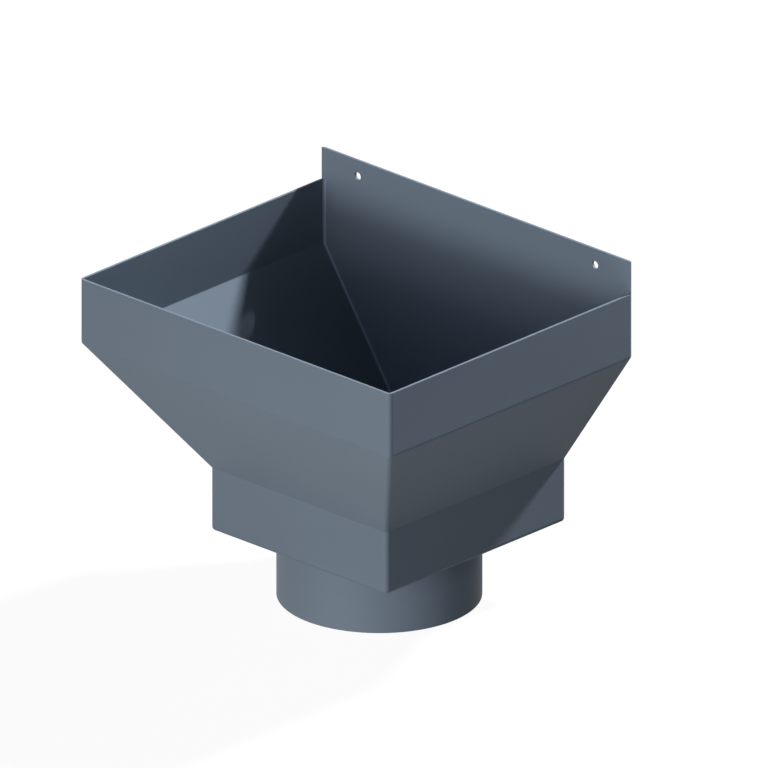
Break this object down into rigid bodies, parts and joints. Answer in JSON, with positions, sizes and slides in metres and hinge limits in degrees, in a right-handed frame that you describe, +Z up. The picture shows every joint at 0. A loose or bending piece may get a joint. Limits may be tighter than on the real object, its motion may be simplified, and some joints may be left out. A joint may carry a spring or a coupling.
{
  "type": "downpipe hopper head",
  "caption": "Flat-backed sheet metal rainwater hopper head: open rim box, taper on three sides, lower box and round outlet spigot, with a drilled fixing upstand.",
  "frame": {"origin": "centre of the outlet spigot's lower end", "axes": "+X along the rim's width, to the right for someone facing the front; +Y towards the wall; +Z up, out of the open rim"},
  "size_m": [0.311, 0.2575, 0.275],
  "materials": {
    "coated_sheet": "satin blue-grey coating on 2 mm aluminium sheet"
  },
  "bodies": {
    "root": {"hopper_shell": "coated_sheet", "back_plate": "coated_sheet", "base_plate": "coated_sheet", "outlet_spigot": "coated_sheet"}
  },
  "joints": []
}
